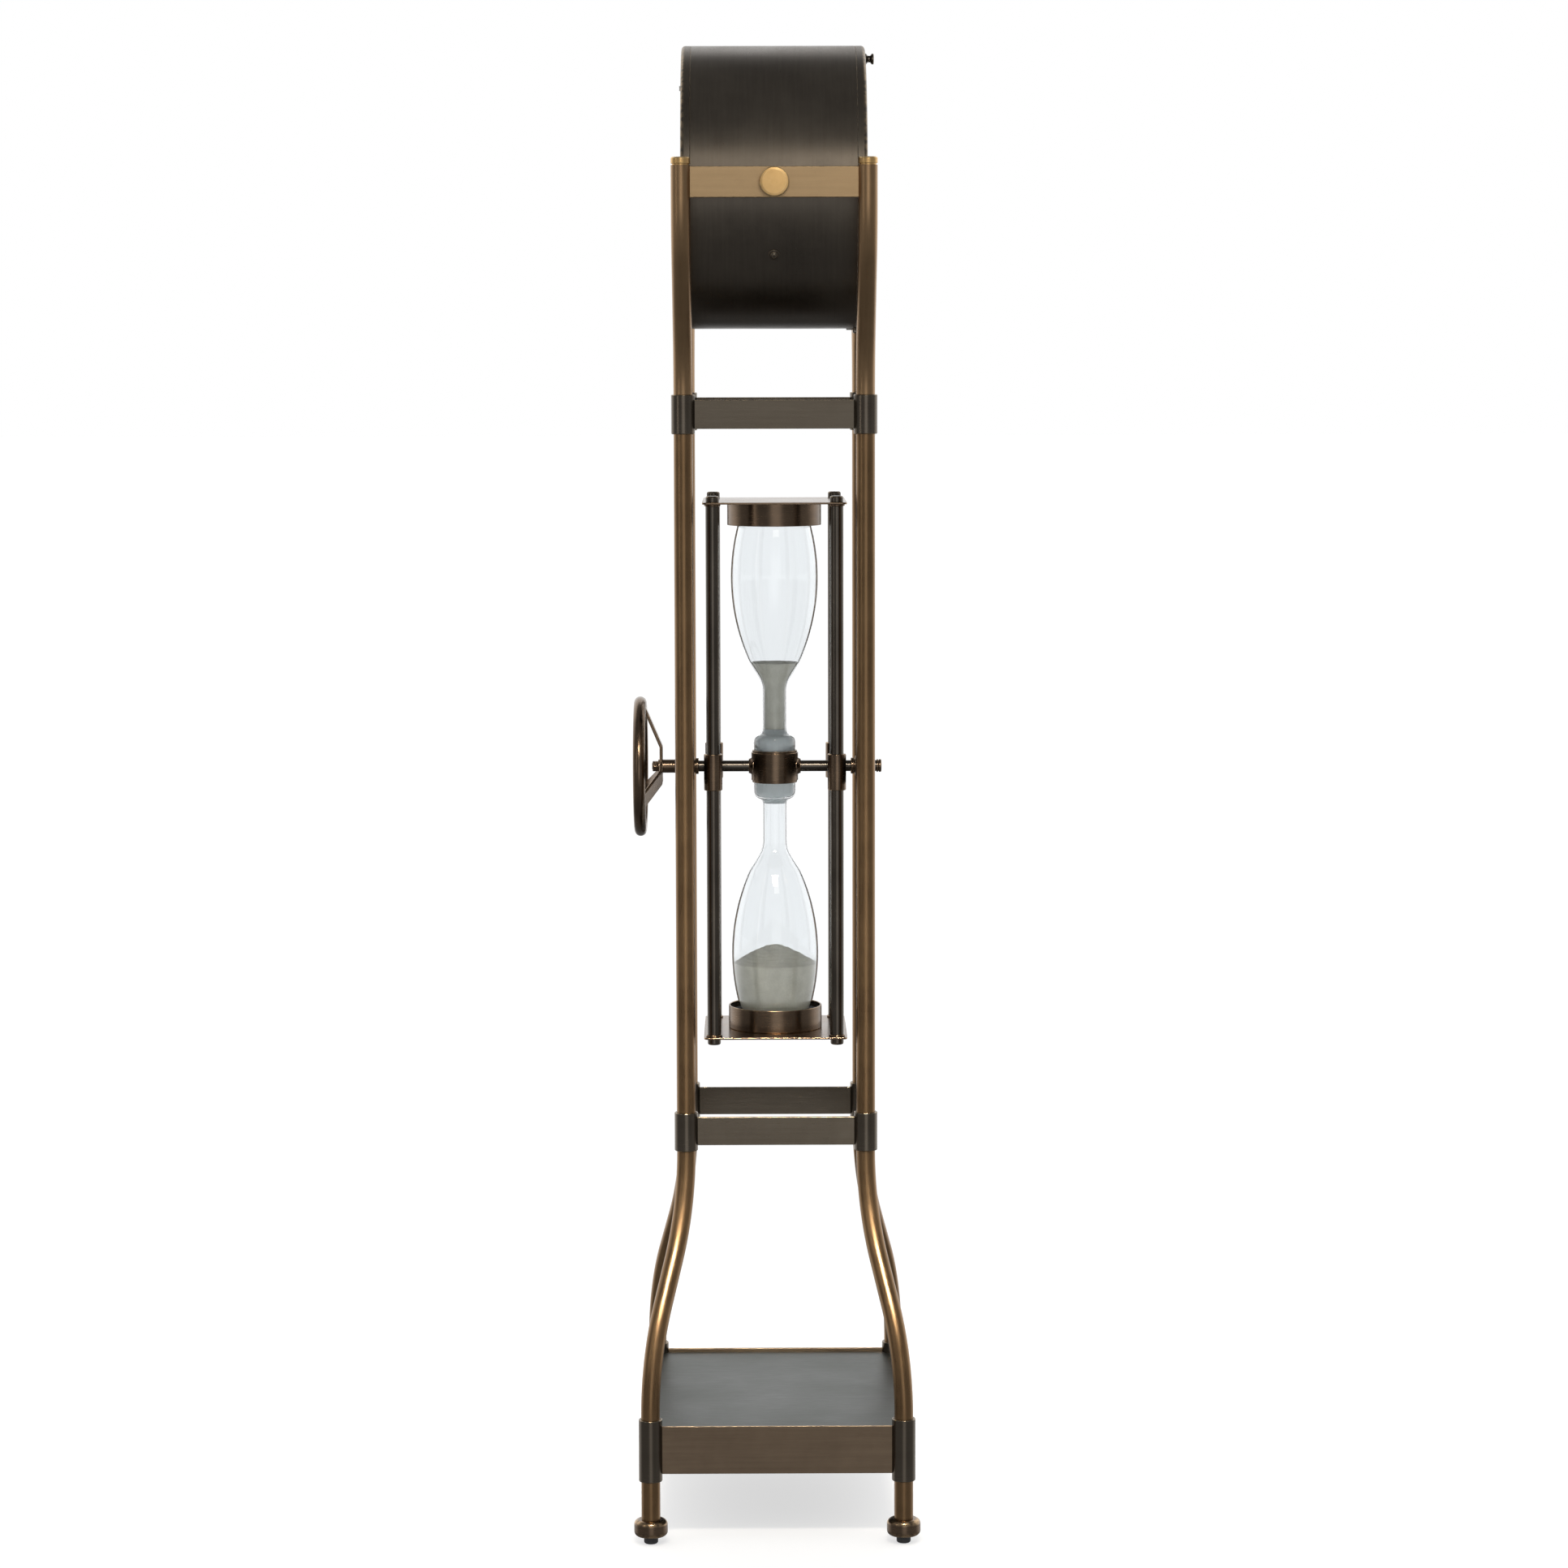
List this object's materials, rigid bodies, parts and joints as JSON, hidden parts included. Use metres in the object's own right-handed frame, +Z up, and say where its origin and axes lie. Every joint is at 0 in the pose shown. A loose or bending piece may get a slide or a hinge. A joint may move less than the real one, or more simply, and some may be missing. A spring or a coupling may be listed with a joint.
{
  "type": "drum clock stand with hourglass",
  "caption": "Floor-standing drum clock on a tubular brass stand, with an hourglass turned end over end on an axle by a handwheel.",
  "frame": {"origin": "on the floor under the middle of the stand", "axes": "+Z up, +X the way the clock dial faces, +Y to the right as seen from the dial side"},
  "size_m": [0.3638, 0.4784, 1.8925],
  "materials": {
    "tube_brass": "antique satin",
    "collar_bronze": "dark bronze satin",
    "drum_bronze": "dark bronze, brushed round the drum",
    "bright_brass": "brushed satin",
    "pewter": "grey-green pewter, brushed",
    "apron_bronze": "brown bronze, brushed along its length",
    "rod_gunmetal": "gunmetal bronze, polished",
    "copper_bronze": "copper bronze satin",
    "clear_glass": "clear blown glass",
    "frosted_glass": "ground glass",
    "sand": "fine grey-beige grains",
    "rubber_black": "matte",
    "dial_cream": "satin enamel",
    "hand_black": "satin black",
    "movement_plastic": "moulded black",
    "battery_shell": "printed sleeve",
    "steel_screw": "bright steel"
  },
  "bodies": {
    "stand": {"legs_left": "tube_brass", "legs_right": "tube_brass", "yoke_tubes_left": "tube_brass", "yoke_tubes_right": "tube_brass", "middle_posts": "tube_brass", "post_collars": "collar_bronze", "base_collars": "collar_bronze", "frame_bars": "collar_bronze", "base_aprons": "apron_bronze", "shelf": "pewter", "foot_discs": "copper_bronze", "post_caps": "tube_brass", "crossbars": "bright_brass", "axle_bars": "collar_bronze", "axle_bushes": "copper_bronze"},
    "drum": {"drum_shell": "drum_bronze", "back_ring": "drum_bronze", "back_cover": "drum_bronze", "back_screws": "steel_screw", "hinge_fixed_leaf": "drum_bronze", "hinge_pin": "steel_screw", "dial": "dial_cream", "clock_movement": "movement_plastic", "battery": "battery_shell", "pivot_screws": "bright_brass", "case_screws": "drum_bronze"},
    "door": {"door_ring": "drum_bronze", "door_glass": "clear_glass", "door_knob": "copper_bronze", "hinge_door_leaf": "drum_bronze"},
    "hour_hand": {"hour_hand": "hand_black"},
    "minute_hand": {"minute_hand": "hand_black"},
    "setting_knob": {"setting_knob": "movement_plastic"},
    "pivot_knob_left": {"pivot_knob_left": "bright_brass"},
    "pivot_knob_right": {"pivot_knob_right": "bright_brass"},
    "hourglass": {"axle": "rod_gunmetal", "axle_cap": "copper_bronze", "cross_bars": "rod_gunmetal", "rods": "rod_gunmetal", "rod_collars": "copper_bronze", "rod_washers": "copper_bronze", "rod_nuts": "rod_gunmetal", "end_plates": "copper_bronze", "cups": "copper_bronze", "bulb_seats": "rubber_black", "bulb_upper": "clear_glass", "bulb_lower": "clear_glass", "sand_upper": "sand", "sand_lower": "sand", "stoppers": "frosted_glass", "hub_ring": "copper_bronze", "orifice_disc": "steel_screw", "handwheel_rim": "copper_bronze", "handwheel_spider": "copper_bronze", "handwheel_nut": "steel_screw"},
    "glide_front_left": {"glide_front_left": "rubber_black"},
    "glide_front_right": {"glide_front_right": "rubber_black"},
    "glide_back_left": {"glide_back_left": "rubber_black"},
    "glide_back_right": {"glide_back_right": "rubber_black"}
  },
  "joints": [
    {"name": "drum_tilt", "type": "hinge", "parent": "stand", "child": "drum", "pos_m": [0, 0, 1.7135], "axis": [0, 1, 0], "continuous": true},
    {"name": "door_swing", "type": "hinge", "parent": "drum", "child": "door", "pos_m": [0.1041, 0, 1.53125], "axis": [0, 1, 0], "range_deg": [0, 100]},
    {"name": "minute_turn", "type": "hinge", "parent": "drum", "child": "minute_hand", "pos_m": [0.09, 0, 1.7135], "axis": [-1, 0, 0], "continuous": true},
    {"name": "hour_turn", "type": "hinge", "parent": "drum", "child": "hour_hand", "pos_m": [0.09, 0, 1.7135], "axis": [-1, 0, 0], "continuous": true},
    {"name": "setting_turn", "type": "hinge", "parent": "drum", "child": "setting_knob", "pos_m": [0.07, 0.014, 1.7275], "axis": [-1, 0, 0], "continuous": true},
    {"name": "left_knob_turn", "type": "hinge", "parent": "drum", "child": "pivot_knob_left", "pos_m": [0, -0.232, 1.7135], "axis": [0, -1, 0], "range_deg": [0, 180]},
    {"name": "right_knob_turn", "type": "hinge", "parent": "drum", "child": "pivot_knob_right", "pos_m": [0, 0.232, 1.7135], "axis": [0, 1, 0], "range_deg": [0, 180]},
    {"name": "hourglass_turn", "type": "hinge", "parent": "stand", "child": "hourglass", "pos_m": [0, 0, 0.9712], "axis": [1, 0, 0], "continuous": true},
    {"name": "glide_front_left_level", "type": "slide", "parent": "stand", "child": "glide_front_left", "axis": [0, 0, -1], "range_m": [0, 0.008]},
    {"name": "glide_front_right_level", "type": "slide", "parent": "stand", "child": "glide_front_right", "axis": [0, 0, -1], "range_m": [0, 0.008]},
    {"name": "glide_back_left_level", "type": "slide", "parent": "stand", "child": "glide_back_left", "axis": [0, 0, -1], "range_m": [0, 0.008]},
    {"name": "glide_back_right_level", "type": "slide", "parent": "stand", "child": "glide_back_right", "axis": [0, 0, -1], "range_m": [0, 0.008]}
  ],
  "couplings": [
    {"joint": "hour_turn", "follows": "minute_turn", "ratio": 0.083333},
    {"joint": "setting_turn", "follows": "minute_turn", "ratio": -1}
  ]
}
